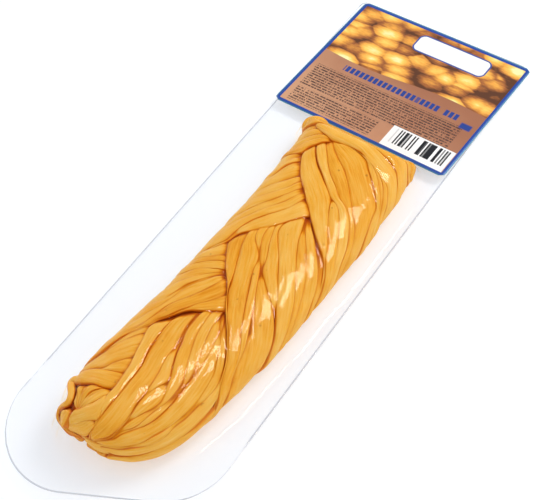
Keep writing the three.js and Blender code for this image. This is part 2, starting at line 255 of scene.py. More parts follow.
LAP_6 = [  # right
    [(30, -15.6), (24, -12), (18.5, -8), (14, -3.3), (9.5, 1), *LAP_4[-1]],
    [(35, -12.2), (31, -9.5), (27, -6), (22.5, -0.7), (18.5, 4.6), (15.5, 8.3), (10, 11), (5, 14), (0, 17.4),
     (-5, 20.6), (-8, 23), (-12, 27), (-16, 31)],
    [(35.6, -11.8), (31.5, -9), (27.5, -5.5), (23, -0.3), (19, 4.2), (16.2, 7.6), (15, 10.5), (13, 13.4),
     (10, 15.8), (5, 19.4), (0, 22.6), (-5, 26), (-10, 31)],
    [(38, -9), (33, -5), (28, -1), (24, 3), (21, 7), (17.8, 10.5), (16, 14.5), (13.5, 18), (9, 22), (4, 25.5),
     (-1, 28), (-5, 31)],
    [(40, -6.9), (36, -3.3), (33, 0.4), (30, 4.7), (27, 8.2), (24, 11.2), (21, 13.8), (18, 16.6), (14, 20.7),
     (8, 26), (3, 29), (0, 31)],
    [(40.6, -2), (40.4, 5), (38.8, 10.2), (36, 13), (33, 16.5), (30, 20.2), (27.5, 23), (25, 25.5), (21, 26.8),
     (17, 28.7), (13.5, 31)],
    [(40.4, 8), (38.5, 13), (35, 18), (32, 21), (29, 24), (26, 26.5), (22, 29), (19, 31)],
    [(38.4, 13.5), (36.6, 18.3), (34.6, 21.5), (31, 24.5), (28, 27), (25, 29.3), (22.5, 31)],
    [(36.7, 18), (36, 21.5), (35, 24), (32, 27), (29.5, 29.3), (27, 31)],
]
LAP_7 = [  # left
    [(40, -6.7), (38, -9.5), (35.3, -12.3), (33.5, -14.3), (30, -15.8), *LAP_5[-1][1:]],
    [(40.6, -8), (38.6, -13), (35.5, -18.5), (34, -20.7), (31.5, -26), (31, -31)],
    [(41.6, -10.5), (40.5, -15), (38.5, -20), (36.5, -25), (35.2, -31)],
    [(44.3, -16), (43.2, -19.5), (42, -23), (41, -26), (40, -31)],
    [(47, -17.6), (46, -20), (45.4, -24), (44.8, -28), (44.5, -31)],
]
LAP_8 = [  # right, going under the label
    [(44.3, -18), (42, -12), (40.2, -7), (40.6, -2), (41, 3), (40.7, 7), (39.5, 9.7), (38, 13.5),
     *LAP_6[-1][:-1], (27, 31.5)],
    [(50, -20), (48.6, -10), (48, 0), (47.5, 6), (46.4, 10), (45.5, 15), (44.9, 19), (44.2, 21.5), (43.5, 23.5),
     (41, 26), (38, 29), (36, 31.5)],
    [(53, -17), (52, -8), (51, 0), (50, 8), (49, 14), (48.2, 19), (47, 22), (45.5, 25), (44, 28), (42, 31.5)],
    [(56, -15), (55.5, -6), (54.5, 2), (53.7, 10), (53, 18), (51.5, 25), (49, 31.5)],
    [(58.5, -13), (58, -2), (57.5, 8), (56.8, 14), (55.6, 19), (54, 24), (52.4, 28), (51, 31.5)],
    [(60.6, -12), (60.6, -2), (60.6, 6), (60.5, 12), (60.3, 17), (59.8, 21), (58.6, 25), (57, 29), (55.6, 31.5)],
]
LAP_9 = [  # left, under the label
    [(50, 4), (48.6, -8), (47.6, -15), (46.6, -19), (45.6, -24), (44.8, -28), (44.5, -31)],
    [(53, 3), (52, -8), (51, -15), (50.4, -20), (50, -26), (49.5, -31)],
    [(57, 2), (56, -8), (55.6, -15), (55.2, -20), (55, -26), (54.5, -31)],
    [(60.6, 1), (60.4, -8), (60.2, -15), (60, -20), (59.8, -26), (59.3, -31)],
]
LAPS = [LAP_1, LAP_2, LAP_3, LAP_4, LAP_5, LAP_6, LAP_7, LAP_8, LAP_9]

# Underneath, the plait is its own top turned over: the seam's turns there, one for each lap in
# order, as the place along the pack and the share of the way round from the crest.
SEAM_START = -174.0
LAP_STEP = 25.6
SEAM_ROUND = {1: (0.897, 1.23), -1: (0.77, 1.103)}  # near and far turn, for right and left laps
NEAR_STOP, FAR_STOP = (-92, 19), (52, 7.5)  # where the turns start to crowd, and in how much room
FIRST_PART = 0.12  # ribbons this near to a lap's leading edge go straight to the seam


def crowded_in(y):
    """Past each stop the turns crowd towards that end of the plait."""
    for (stop, room), way in ((NEAR_STOP, -1), (FAR_STOP, 1)):
        past = np.maximum(way * (y - stop), 0)
        y = np.where(past > 0, stop + way * room * (1 - np.exp(-past / room)), y)
    return y


def half_girth(y):
    return np.interp(y + GUIDE_ZERO, FORM_Y, FORM_GIRTH) / 2


def under_guides(order, crease):
    """Where a crease goes on from the edge of the plait to the seam underneath."""
    first, last = LAPS[order][0][-1][0], LAPS[order][-1][-1][0]
    part = (crease[-1][0] - first) / (last - first)
    side = 1 if order % 2 else -1
    near, far = SEAM_ROUND[side]
    start = SEAM_START + LAP_STEP * order
    turns = [(start + 2 * LAP_STEP * part, near)] if part > FIRST_PART else []
    turns.append((start + LAP_STEP * part, near + (far - near) * part))
    ends = [(float(crowded_in(np.float64(y))), turn) for y, turn in turns]
    return [(y, side * turn * half_girth(y)) for y, turn in ends]


TUCK = 7.0  # how far each ribbon's end reaches under the strand that covers it
TUCK_SINK = 3.4
TUCK_EASE = (0.5, 3.0)  # where the sunk end starts to rise, and how far past the seam it is up
TURN_UNDER = (0.42, 0.62)  # shares of the way round between which a ribbon turns underneath
RIBBON_STEP = 1.15
RIBBON_POINTS = (10, 110)  # fewest and most along one ribbon
NARROW, BROAD = 0.7, 2.8  # a ribbon thins out and sinks as its width goes from one to the other
OVERLAP = 0.4
SAG = (-0.5, 1.6)  # least and most that a ribbon bends down at its edges to follow the plait
LEAD_LEVEL, LAST_DROP = 0.3, 0.9  # a lap's leading ribbon lies high, and its last one lower
LEVEL_SPREAD, LEVEL_WAVE = 0.14, 0.13
TILT, TILT_SPREAD, TILT_WAVE = 0.2, 0.12, 0.08
WAVE_LENGTHS = (34, 19, 11)
THIN, THICKER, WIDEST = 0.75, 0.1, 9  # half depth of a ribbon, its gain with the width, up to a width
THINNED = 0.3  # share of its depth that a ribbon has left where it is narrow
SUNK = 0.1
LONGER_STEP, END_POINTS = 0.5, 6  # a line goes on the way that its last few points go
ROPE_POINTS, ROPE_END, ROPE_TAPER, ROPE_WAVE = 5, 0.25, 0.12, 0.05

rng = np.random.default_rng(41)
ribbons = []


def dots(a, b):
    return np.einsum("ij,ij->i", a, b)


def ease(value, low, high):
    t = share((value - low) / (high - low))
    return t * t * (3 - 2 * t)


def lengthened(line, start, end):
    if start:
        way = line[0] - line[min(END_POINTS, len(line) - 1)]
        more = np.arange(start, 0, -LONGER_STEP)[:, None]
        line = np.vstack([line[0] + way / np.linalg.norm(way) * more, line])
    if end:
        way = line[-1] - line[max(-END_POINTS - 1, -len(line))]
        more = np.arange(LONGER_STEP, end + LONGER_STEP, LONGER_STEP)[:, None]
        line = np.vstack([line, line[-1] + way / np.linalg.norm(way) * more])
    return line


def resampled(line, count):
    run = run_along(line)
    at = np.linspace(0, run[-1], count)
    return np.stack([np.interp(at, run, line[:, k]) for k in range(line.shape[1])], axis=1), run[-1]


def waves(run, reach):
    out = np.zeros_like(run)
    for length in WAVE_LENGTHS:
        out += np.sin(2 * np.pi * (run / length + rng.random())) * reach * length / WAVE_LENGTHS[0]
    return out


def lay_ribbon(low, high, strand, place=0.0, tucks=(TUCK, TUCK), turns_under=True, sink=0.0):
    """One ribbon between two creases. place is 0 on the lap's leading ribbon and 1 on its last."""
    low, high = (lengthened(curve_through(line), *tucks) for line in (low, high))
    count = int(np.clip(max(len(low), len(high)) * LINE_STEP / RIBBON_STEP, *RIBBON_POINTS))
    (low, run_low), (high, run_high) = resampled(low, count), resampled(high, count)
    middle_line = (low + high) / 2
    (a, _), (b, _) = (on_plait(line[:, 0] + GUIDE_ZERO, line[:, 1]) for line in (low, high))
    c, outward = on_plait(middle_line[:, 0] + GUIDE_ZERO, middle_line[:, 1])
    run = np.linspace(0, (run_low + run_high) / 2, count)
    width = np.linalg.norm(b - a, axis=1)
    broad = ease(width, NARROW, BROAD)
    thick = (THIN + THICKER * np.minimum(width, WIDEST)) * (THINNED + (1 - THINNED) * broad)
    across = (b - a) / 2 * (1 + OVERLAP / np.maximum(width, OVERLAP))[:, None]
    sag = np.clip(dots(c - (a + b) / 2, outward), *SAG)
    under = ease(np.abs(middle_line[:, 1]) / half_girth(middle_line[:, 0]), *TURN_UNDER) * turns_under
    lead = place * (1 - under) + (1 - place) * under
    level = LEAD_LEVEL - LAST_DROP * lead**2 + rng.normal(0, LEVEL_SPREAD) + waves(run, LEVEL_WAVE)
    for tuck, way_in in zip(tucks, (run, run[-1] - run)):
        if tuck:
            level -= TUCK_SINK * (1 - ease(way_in, TUCK_EASE[0], tuck + TUCK_EASE[1]))
    level -= 1 - broad + sink
    tilt = (rng.normal(0, TILT_SPREAD) + TILT * (2 * under - 1) + waves(run, TILT_WAVE)) * broad
    if np.median(dots(np.cross(np.gradient(c, axis=0), across), outward)) < 0:
        across, tilt = -across, -tilt
    ribbons.append(dict(
        strand=strand, centre=c + outward * (level - thick - SUNK)[:, None], across=across, outward=outward,
        thick=thick, sag=sag, tilt=tilt, run=run, tint=np.full(count, rng.normal(0, 1))))


def lay_rope(points, width, thick, strand, lean=(0, 0, 1)):
    """A rolled ribbon off the plait's form, along points of its own, with a width and a depth at each."""
    count = max(RIBBON_POINTS[0], len(points) * ROPE_POINTS)
    line, length = resampled(curve_through(points), count)
    tangent = np.gradient(line, axis=0)
    up = np.tile(np.array(lean, float), (count, 1))
    up -= tangent * (dots(up, tangent) / dots(tangent, tangent))[:, None]
    up /= np.linalg.norm(up, axis=1, keepdims=True)
    across = np.cross(up, tangent)
    across /= np.linalg.norm(across, axis=1, keepdims=True)
    part = np.linspace(0, 1, count)
    full = ROPE_END + (1 - ROPE_END) * ease(np.minimum(part, part[::-1]), 0, ROPE_TAPER)
    width, thick = (np.interp(part, np.linspace(0, 1, len(size)), size) for size in (width, thick))
    run = np.linspace(0, length, count)
    ribbons.append(dict(
        strand=strand, centre=line, across=across * (full * width / 2)[:, None], outward=up,
        thick=thick / 2 * full, sag=np.zeros(count), tilt=waves(run, ROPE_WAVE), run=run,
        tint=np.full(count, rng.normal(0, 1))))


def lay_fan(lines, strand, sinks, **how):
    """Ribbons side by side, one in each gap between the lines, the sinks in turn."""
    for k, (low, high) in enumerate(zip(lines, lines[1:])):
        lay_ribbon(low, high, strand, sink=sinks[k % len(sinks)], **how)


TO_TIP = 1  # the lap that runs straight into the pinched tip
for order, creases in enumerate(LAPS):
    lines = [crease + ([] if order == TO_TIP else under_guides(order, crease)) for crease in creases]
    count = len(lines) - 1
    for k in range(count):
        lay_ribbon(lines[k], lines[k + 1], order % 3, place=k / count,
                   tucks=(TUCK, 0.0 if order == TO_TIP else TUCK), turns_under=order != TO_TIP)

# Flanks of the near end, out of sight of the crest: ribbons that run on under it into the tip.
FLANK_START, FLANK_LATER = -69, 46  # the further down a flank ribbon lies, the later it starts
sides = []
for turn in (0.5, 0.7, 0.9, 1.1):
    start = FLANK_START - FLANK_LATER * (turn - 0.5)
    sides.append([(y, turn * half_girth(y)) for y in (start, (start - 95) / 2, -95, -104, -109, -111.2)])
lay_fan(sides, 1, place=0.5, tucks=(4.0, 0.0), turns_under=False, sinks=(0.5,))

# The near tip on the left: a fan of thin ribbons from under the last lap, two flaps beside the
# seam, and a band that leaves the lap's knee and goes round the tip as a rolled rim.
FAN = [
    [(-97, -17.4), (-98.4, -16.5), (-101.3, -13.5), (-104.1, -11.5), (-105.4, -9.4), (-106, -8.2)],
    [(-97, -16.2), (-98.1, -15.5), (-101, -12.3), (-103.7, -10.1), (-105.6, -8)],
    [(-96, -13.4), (-97.2, -12.7), (-100.6, -11), (-103.5, -9.4), (-105.6, -7.8)],
    [(-95, -11.5), (-96.3, -10.9), (-100.1, -9.8), (-103.2, -8.6), (-105.6, -7.6)],
    [(-93.5, -4), (-94.8, -5.3), (-98, -7.8), (-101.1, -8), (-103.5, -7.6), (-105.6, -7.4)],
    [(-93, -1.8), (-94.2, -3.1), (-96.6, -5.4), (-99.5, -6.6), (-102.6, -6.7), (-105.6, -7.2)],
    [(-93.8, -0.6), (-95.6, -1.4), (-96.6, -2.3), (-99.9, -3.2), (-103, -5.1), (-105.6, -6.9)],
]
lay_fan(FAN, 0, place=0.3, tucks=(2.5, 0.0), turns_under=False, sinks=(0.15, 0.05))
FLAPS = [
    [(-94.6, -1.3), (-95.6, -1.6), (-96.6, -2.3), (-99.9, -3.2), (-103, -5.1), (-105.4, -6.6), (-106.4, -8.3),
     (-108.3, -8.8), (-109.7, -9), (-110.4, -12)],
    [(-94.6, -1.1), (-96.5, -0.7), (-99.1, 0.2), (-102.4, 1.5), (-104.9, 2.1), (-106.2, 0.3), (-107.7, -2),
     (-109.3, -4.1), (-110.2, -6.6), (-110.6, -9.5), (-111, -13)],
    [(-104.2, 2.6), (-107, 2.4), (-109.2, 2), (-110.9, 1), (-111.5, -1.5), (-111.7, -4.5), (-111.8, -7),
     (-111.7, -10), (-111.6, -14)],
]
lay_ribbon(FLAPS[0], FLAPS[1], 0, place=0.1, tucks=(1.0, 0.0), turns_under=False)
lay_ribbon(FLAPS[1][4:], FLAPS[2], 0, place=0.4, tucks=(1.0, 0.0), turns_under=False, sink=0.2)
TIP_FLANK = [
    [(-96, -27), (-102, -26.5), (-107, -23.5), (-110, -17.5), (-111.4, -11)],
    [(-95.5, -32), (-102.5, -32.5), (-108, -29), (-111, -21), (-111.6, -13)],
    [(-95, -38), (-103, -39.5), (-109, -34), (-111.3, -25), (-111.7, -16)],
]
lay_fan(TIP_FLANK, 0, place=0.5, tucks=(3.0, 0.0), turns_under=False, sinks=(2.2,))
CAMERA_AT = (163.1, -182.1, 352.46)
CAMERA_RIGHT = (0.81310, 0.57500, -0.09082)
CAMERA_UP = (-0.43680, 0.70577, 0.55776)
CAMERA_BACK = (0.38481, -0.41384, 0.82502)
LENS, SENSOR = 71.25, 36
PICTURE = (535, 500)
TOP_SHARE = 0.45  # how far the middle of a rope lies below its top, as a share of its depth


def lay_seen_rope(seen, strand, **how):
    """A rope whose points are given by where the camera sees their tops, which lie at known levels."""
    across, down, top, width, depth = np.array(seen).T
    right, up, back, eye = (np.array(axis) for axis in (CAMERA_RIGHT, CAMERA_UP, CAMERA_BACK, CAMERA_AT))
    pixel = SENSOR / LENS / PICTURE[0]
    across, down = (across - PICTURE[0] / 2) * pixel, (down - PICTURE[1] / 2) * pixel
    sight = np.outer(across, right) - np.outer(down, up) - back
    points = eye + sight * ((top - eye[2]) / sight[:, 2])[:, None]
    points[:, 2] = top - TOP_SHARE * depth
    lay_rope(points.round(1), width, depth, strand, **how)


TIP_RIM = [  # pixels across and down, level of the top, width, depth
    (82, 377, 22, 3.6, 4), (72.5, 381, 16.5, 3.6, 4), (71.2, 386.5, 19.3, 3.5, 4),
    (71.4, 391.5, 21.1, 3.3, 4), (70.8, 396, 21.5, 3.1, 4), (68, 401.6, 20.8, 2.8, 4),
    (62.8, 405.8, 17.2, 2.3, 3.4), (59.5, 409.3, 14.8, 1.8, 2.8), (57.9, 413.9, 14, 1.5, 2.4),
    (58.7, 419, 12.6, 1.5, 2.2), (62.1, 424.2, 11.2, 1.5, 2), (67, 430.2, 10.8, 1.2, 1.6),
    (74, 434.2, 14.3, 1.1, 1.4), (84, 438.2, 16.8, 1.1, 1.4),
]
lay_seen_rope(TIP_RIM, 0)
TIP_LOBE = [
    (69, 406.5, 20.2, 3, 3), (68.3, 409, 20.3, 5.4, 4.4), (67.4, 412.1, 19.6, 6.4, 5),
    (66.1, 417.1, 17.6, 5.8, 5), (65.7, 421.1, 15.5, 4.2, 4.6), (67.1, 425.5, 13.6, 2.4, 3.8),
]
lay_seen_rope(TIP_LOBE, 0, lean=(-0.5, -0.3, 0.8))
# Low on the near tip, where every ribbon ends: three short rolls of curd pressed into the gap.
for level, reach, end in ((7.6, 5.5, -108.8), (10.4, 7.2, -109.6), (13.2, 7, -110)):
    lay_rope([(-reach, end + 1.4, level), (-reach / 3, end, level), (reach / 3, end + 0.2, level + 0.4),
              (reach, end + 2.4, level + 0.8)], (4.2, 4.8, 4.2), (4, 4.4, 4), 1, lean=(0, -1, 0.1))
# The far end on the left: the stub of a ribbon doubled back under the label.
lay_rope([(-12, 55, 8), (-14.6, 52, 12.4), (-16.6, 49.4, 12.8), (-16.4, 47.2, 9.5)], (6, 6.4, 6, 4.6),
         (4, 5, 5, 4), 2)


class Net:
    """Adds nodes to a tree. A link or value goes in by the name or the number of its input."""

    def __init__(self, tree):
        self.tree = tree

    def node(self, kind, settings=None, **inputs):
        made = self.tree.nodes.new(kind)
        settings = dict(settings or {})
        stops = settings.pop("stops", ())
        for name, value in settings.items():
            setattr(made, name, value)
        for k, (at, colour) in enumerate(stops):
            elements = made.color_ramp.elements
            element = elements[k] if k < len(elements) else elements.new(1.0)
            element.position = at
            element.color = (*colour, 1)
        for name, value in inputs.items():
            socket = self.find(made.inputs, name)
            if isinstance(value, Value):
                value = value.socket
            if isinstance(value, bpy.types.NodeSocket):
                self.tree.links.new(value, socket)
            else:
                socket.default_value = value
        return made

    def find(self, sockets, name):
        if name.startswith("_"):
            return sockets[int(name[1:])]
        wanted = name.replace("_", " ").lower()
        return next(s for s in sockets if s.name.lower() == wanted and s.enabled)

    def value(self, kind, settings=None, out=0, **inputs):
        made = self.node(kind, settings, **inputs)
        return Value(self, made.outputs[out] if isinstance(out, int) else self.find(made.outputs, out))

    def attribute(self, name, kind="FLOAT"):
        """An attribute read inside a geometry tree."""
        return self.value("GeometryNodeInputNamedAttribute", {"data_type": kind}, out="Attribute", Name=name)

    def stored(self, name, out="Fac"):
        """An attribute of the mesh read inside a material."""
        return self.value("ShaderNodeAttribute", {"attribute_name": name}, out=out)

    def noise(self, place, scale, detail=2.0, **more):
        return self.value("ShaderNodeTexNoise", Vector=place, Scale=scale, Detail=detail, **more)

    def bands(self, along):
        """A steady random value for each whole number."""
        return self.value("ShaderNodeTexNoise", {"noise_dimensions": "1D"}, W=along, Scale=1.0, Detail=0.0)

    def mixed(self, factor, low, high):
        """Two colours mixed by a factor."""
        low, high = ((*c, 1) if isinstance(c, tuple) else c for c in (low, high))
        return self.value("ShaderNodeMix", {"data_type": "RGBA"}, out="Result", _0=factor, _6=low, _7=high)


class Value:
    """A socket that adds, multiplies and so on, by Math nodes, or Vector Math nodes for a vector."""

    def __init__(self, net, socket):
        self.net, self.socket = net, socket

    def math(self, operation, *others, swap=False):
        values = [self, *others]
        if swap:
            values = values[::-1]
        kind = "ShaderNodeMath"
        if any(isinstance(v, Value) and v.socket.type == "VECTOR" for v in values):
            kind = "ShaderNodeVectorMath"
            values = [(v, v, v) if isinstance(v, (int, float)) else v for v in values]
        return self.net.value(kind, {"operation": operation}, **{f"_{k}": v for k, v in enumerate(values)})

    def __add__(self, other): return self.math("ADD", other)
    def __sub__(self, other): return self.math("SUBTRACT", other)
    def __mul__(self, other): return self.math("MULTIPLY", other)
    def __truediv__(self, other): return self.math("DIVIDE", other)
    def __pow__(self, other): return self.math("POWER", other)
    def __radd__(self, other): return self.math("ADD", other, swap=True)
    def __rsub__(self, other): return self.math("SUBTRACT", other, swap=True)
    def __rmul__(self, other): return self.math("MULTIPLY", other, swap=True)
    def __rtruediv__(self, other): return self.math("DIVIDE", other, swap=True)
    def __neg__(self): return self.math("MULTIPLY", -1.0)

    def ramp(self, low, high):
        """0 up to low, 1 from high on, and smooth between them."""
        return self.net.value("ShaderNodeMapRange", {"interpolation_type": "SMOOTHSTEP"}, _0=self, _1=low, _2=high)


def part(net, vector, axis):
    return net.value("ShaderNodeSeparateXYZ", out="XYZ".index(axis), _0=vector)


def joined(net, x, y, z):
    return net.value("ShaderNodeCombineXYZ", _0=x, _1=y, _2=z)


def net_of(block):
    """The emptied net of a new material or world."""
    block.use_nodes = True
    block.node_tree.nodes.clear()
    return Net(block.node_tree)


FIBRE_APART = 7.3  # how far each ribbon's fibres stand from the next one's, so that no two look alike
FOLD_STRETCH = 0.16  # width of a fold for its length along the ribbon


def ribbon_tree():
    """Sweeps a soft flat section along every line and puts it where the line's attributes say."""
    tree = bpy.data.node_groups.new("ribbons", "GeometryNodeTree")
    sockets = [
        ("Lines", "NodeSocketGeometry", None),
        ("Section points", "NodeSocketInt", 24),
        ("Shoulder", "NodeSocketFloat", 0.6),
        ("Fold height", "NodeSocketFloat", 0.00055),
        ("Fold width", "NodeSocketFloat", 0.33),
        ("Lowest", "NodeSocketFloat", 0.00025),
        ("Finish", "NodeSocketMaterial", None),
    ]
    for name, kind, default in sockets:
        made = tree.interface.new_socket(name, in_out="INPUT", socket_type=kind)
        if default is not None:
            made.default_value = default
    tree.interface.new_socket("Ribbons", in_out="OUTPUT", socket_type="NodeSocketGeometry")
    net = Net(tree)

    def stored(geometry, kind, name, value):
        return net.value("GeometryNodeStoreNamedAttribute", {"data_type": kind, "domain": "POINT"},
                         Geometry=geometry, Name=name, Value=value)

    given = {s.name: Value(net, s) for s in net.node("NodeGroupInput").outputs if s.name}
    profile = net.value("GeometryNodeCurvePrimitiveCircle", {"mode": "RADIUS"}, Resolution=given["Section points"],
                        Radius=1.0)
    at = net.value("GeometryNodeInputPosition")
    for name, axis in (("section_x", "X"), ("section_z", "Y")):
        flat = part(net, at, axis)
        profile = stored(profile, "FLOAT", name, flat.math("SIGN") * flat.math("ABSOLUTE") ** given["Shoulder"])
    lines = net.value("GeometryNodeMeshToCurve", _0=given["Lines"])
    swept = net.value("GeometryNodeCurveToMesh", Curve=lines, Profile_Curve=profile, Fill_Caps=True)
    x, z = net.attribute("section_x"), net.attribute("section_z")
    across, outward = net.attribute("across", "FLOAT_VECTOR"), net.attribute("outward", "FLOAT_VECTOR")
    half_width = net.value("ShaderNodeVectorMath", {"operation": "LENGTH"}, out="Value", _0=across) * (1 / MM)
    fibre = joined(net, x * half_width, net.attribute("run"), net.attribute("number") * FIBRE_APART)
    folds = net.noise(fibre * joined(net, given["Fold width"], given["Fold width"] * FOLD_STRETCH, 1.0), 1.0)
    height = net.attribute("thick") * z - net.attribute("sag") * x * x + net.attribute("tilt") * x
    height = height + (folds - 0.5) * given["Fold height"] * 2.0
    place = net.attribute("centre", "FLOAT_VECTOR") + across * x + outward * height
    place = joined(net, part(net, place, "X"), part(net, place, "Y"),
                   part(net, place, "Z").math("MAXIMUM", given["Lowest"]))
    laid = net.value("GeometryNodeSetPosition", Geometry=swept, Position=place)
    laid = stored(laid, "FLOAT_VECTOR", "fibre", fibre)
    laid = stored(laid, "FLOAT", "rim", half_width * (1.0 - x.math("ABSOLUTE")))
    laid = net.value("GeometryNodeSetShadeSmooth", _0=laid)
    laid = net.value("GeometryNodeRealizeInstances", _0=laid)
    laid = net.value("GeometryNodeSetMaterial", Geometry=laid, Material=given["Finish"])
    net.node("NodeGroupOutput", _0=laid)
    return tree


def cheese_finish():
    """Smoked curd: amber with paler fibres drawn along each ribbon, and painted shade: darker towards each ribbon's
    edge and deep orange-brown down in the creases.
    """
    finish = bpy.data.materials.new("smoked_curd")
    net = net_of(finish)
    fibre, crease = net.stored("fibre", "Vector"), net.stored("crease")
    rim = net.stored("rim")  # millimetres in from the ribbon's edge
    side = net.stored("section_x").math("ABSOLUTE")
    place = net.value("ShaderNodeTexCoord", out="Object")
    streaks = net.noise(fibre * joined(net, 1.5, 0.1, 1.0), 1.0, 4.0, Roughness=0.6)
    clouds = net.noise(place, 95.0)
    specks = net.noise(place, 420.0, 1.0)
    # painted shade: the tone falls towards each ribbon's edge and with the depth of the crease
    tone = (0.60 + (streaks - 0.5) * 0.8 + (clouds - 0.5) * 0.35 + net.stored("tint") * 0.05
            - side ** 4.0 * 0.15 - crease.ramp(0.2, 1.0) * 0.5)
    colour = net.value("ShaderNodeValToRGB", {"stops": [
        (0.0, (0.52, 0.12, 0.001)), (0.25, (0.75, 0.25, 0.003)), (0.5, (0.86, 0.39, 0.034)),
        (0.75, (0.90, 0.495, 0.09)), (1.0, (0.95, 0.65, 0.22))]}, Fac=tone)
    colour = net.mixed(specks.ramp(0.75, 0.80) * 0.5, colour, (0.35, 0.09, 0.01))
    # painted shade: a dark line along each ribbon's edge, where it meets its neighbour in a crease
    colour = net.mixed((1.0 - rim.ramp(0.12, 0.5)) * 0.8, colour, (0.66, 0.15, 0.001))
    # painted shade: deep orange-brown down in the deepest creases
    colour = net.mixed(crease.ramp(0.6, 1.6) * 0.9, colour, (0.47, 0.062, 0.0005))
    bump = net.node("ShaderNodeBump", Strength=0.5, Distance=0.0005, Height=streaks)
    shader = net.node(
        "ShaderNodeBsdfPrincipled", Base_Color=colour, Roughness=0.5 + (streaks - 0.5) * 0.3, Normal=bump.outputs[0],
        Subsurface_Weight=0.12, Subsurface_Scale=0.001, Subsurface_Radius=(1.0, 0.4, 0.12), Specular_IOR_Level=0.05)
    net.node("ShaderNodeOutputMaterial", Surface=shader.outputs[0])
    return finish


def mesh_from(name, points, faces, smooth=True):
    mesh = bpy.data.meshes.new(name)
    mesh.from_pydata([tuple(p) for p in np.asarray(points) * MM], [], faces)
    mesh.update()
    if smooth:
        mesh.shade_smooth()
    return mesh


def piece_from(name, mesh):
    piece = bpy.data.objects.new(name, mesh)
    bpy.context.scene.collection.objects.link(piece)
    return piece


def numbers_of(rows, columns):
    return np.arange(rows * columns).reshape(rows, columns)


def quads_of(grid):
    """The faces between the rows and columns of a grid of point numbers."""
    return np.stack([grid[:-1, :-1], grid[:-1, 1:], grid[1:, 1:], grid[1:, :-1]], axis=-1).reshape(-1, 4).tolist()


def give(mesh, name, values):
    """Stores a number, or a vector, at every point of a mesh."""
    values = np.asarray(values, np.float32)
    kind, key = ("FLOAT_VECTOR", "vector") if values.ndim == 2 else ("FLOAT", "value")
    mesh.attributes.new(name, kind, "POINT").data.foreach_set(key, values.ravel())


def lines_mesh(name, wanted):
    """One mesh of bare lines, each point of a line carrying what the sweep needs to know there."""
    ends = np.cumsum([0] + [len(r["run"]) for r in wanted])
    points = np.vstack([r["centre"] for r in wanted]) * MM
    edges = [(k, k + 1) for a, b in zip(ends[:-1], ends[1:]) for k in range(a, b - 1)]
    mesh = bpy.data.meshes.new(name)
    mesh.from_pydata(points.tolist(), edges, [])
    give(mesh, "centre", points)
    give(mesh, "across", np.vstack([r["across"] for r in wanted]) * MM)
    give(mesh, "outward", np.vstack([r["outward"] for r in wanted]))
    give(mesh, "number", np.concatenate([np.full(len(r["run"]), k) for k, r in enumerate(wanted)]))
    for key, unit in (("thick", MM), ("sag", MM), ("tilt", MM), ("run", 1), ("tint", 1)):
        give(mesh, key, np.concatenate([r[key] for r in wanted]) * unit)
    return mesh


curd = cheese_finish()
sweep = ribbon_tree()
inputs = {s.name: s.identifier for s in sweep.interface.items_tree if s.in_out == "INPUT"}
strands = []
for number in range(3):
    wanted = [r for r in ribbons if r["strand"] == number]
    lines = piece_from(f"lines_{number}", lines_mesh(f"lines_{number}", wanted))
    laid = lines.modifiers.new("ribbons", "NODES")
    laid.node_group = sweep
    laid[inputs["Finish"]] = curd
    now = bpy.context.evaluated_depsgraph_get()
    mesh = bpy.data.meshes.new_from_object(lines.evaluated_get(now), preserve_all_data_layers=True, depsgraph=now)
    bpy.data.objects.remove(lines)
    mesh.name = f"strand_{number + 1}"
    strands.append(piece_from(f"strand_{number + 1}", mesh))

# The curd inside, which shows only down between the ribbons.
CORE_DEPTH = 2.1
CORE_LOWEST = 0.4
CORE_STEP, CORE_SHORT = 3, 6  # it takes every third point of the form and stops short of both ends
core_points = (FORM_POINTS - FORM_NORMALS * CORE_DEPTH)[CORE_SHORT:-CORE_SHORT:CORE_STEP, :-1:CORE_STEP]
core_points[..., 2] = np.maximum(core_points[..., 2], CORE_LOWEST)
grid = numbers_of(*core_points.shape[:2])
core_faces = quads_of(np.hstack([grid, grid[:, :1]])) + [grid[0, ::-1].tolist(), grid[-1].tolist()]
core = piece_from("inner_curd", mesh_from("inner_curd", core_points.reshape(-1, 3), core_faces))
core.data.materials.append(curd)


def points_of(mesh):
    found = np.zeros(len(mesh.vertices) * 3, np.float32)
    mesh.vertices.foreach_get("co", found)
    return found.reshape(-1, 3).astype(float)


def widest(grid, cells, lowest=False):
    """The highest (or lowest) value within so many cells of each one, on a grid that closes sideways."""
    pick = np.minimum if lowest else np.maximum
    for axis in (0, 1):
        best = grid
        for step in range(1, cells + 1):
            for way in (-step, step):
                moved = np.roll(grid, way, axis=axis)
                if axis == 0:
                    edge = slice(0, step) if way > 0 else slice(-step, None)
                    moved[edge] = grid[edge]
                best = pick(best, moved)
        grid = best
    return grid


all_points = np.vstack([points_of(s.data) for s in strands]) / MM
offsets = np.cumsum([0] + [len(s.data.vertices) for s in strands])
all_faces = [[c + o for c in face.vertices] for s, o in zip(strands, offsets) for face in s.data.polygons]
ribbon_hits = BVHTree.FromPolygons(all_points.tolist(), all_faces)

